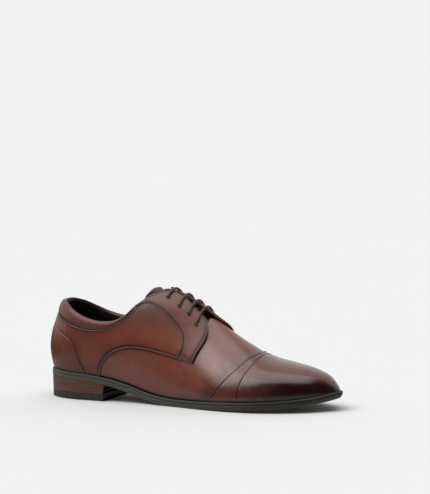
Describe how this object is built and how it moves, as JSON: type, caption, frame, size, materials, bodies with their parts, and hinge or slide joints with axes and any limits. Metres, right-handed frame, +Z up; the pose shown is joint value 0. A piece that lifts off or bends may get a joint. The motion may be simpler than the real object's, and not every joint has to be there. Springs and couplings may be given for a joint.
{
  "type": "lace-up dress shoe",
  "caption": "Right cap-toe derby dress shoe: low quarters with curved facings, laced over a tongue, on a stacked heel.",
  "frame": {"origin": "centre of the shoe's box, on the floor that it stands on", "axes": "+X towards the toe, -Y towards the outer (lateral) side of the right foot, +Z up"},
  "size_m": [0.3028, 0.0994, 0.1131],
  "materials": {
    "upper_leather": "polished",
    "burnished_leather": "burnished and polished",
    "lining": "matt",
    "board": "raw leatherboard",
    "foam": "soft foam",
    "cork": "granular cork",
    "steel": "plain",
    "sole_edge": "dyed and waxed edge",
    "stacked_leather": "stacked layers, waxed",
    "rubber": "matt",
    "lace": "waxed braid",
    "aglet": "clear over braid"
  },
  "bodies": {
    "shoe": {"heel_top_piece": "rubber", "heel_lift_1": "stacked_leather", "heel_lift_2": "stacked_leather", "heel_lift_3": "stacked_leather", "outsole": "sole_edge", "welt": "sole_edge", "shank": "steel", "bottom_filler": "cork", "heel_nail_1": "steel", "heel_nail_2": "steel", "heel_nail_3": "steel", "heel_nail_4": "steel", "heel_nail_5": "steel", "insole_board": "board", "heel_pad": "foam", "sock_liner": "lining", "vamp": "upper_leather", "toe_cap": "burnished_leather", "toe_puff": "board", "vamp_lining": "lining", "quarter_lateral": "upper_leather", "quarter_medial": "upper_leather", "facing_lateral": "upper_leather", "facing_medial": "upper_leather", "heel_foxing": "upper_leather", "heel_counter": "board", "collar": "burnished_leather", "collar_padding": "foam", "heel_lining": "lining", "quarter_lining_lateral": "lining", "quarter_lining_medial": "lining", "lace": "lace", "aglet_hidden": "aglet", "aglet_top": "aglet"},
    "tongue_flap": {"tongue": "upper_leather", "tongue_lining": "lining"}
  },
  "joints": [
    {"name": "tongue_fold", "type": "hinge", "parent": "shoe", "child": "tongue_flap", "pos_m": [0.0384, -0.0026, 0.066], "axis": [0, -1, 0], "range_deg": [0, 12], "stiffness_Nm_per_rad": 0.07, "springref_deg": -8.59}
  ]
}
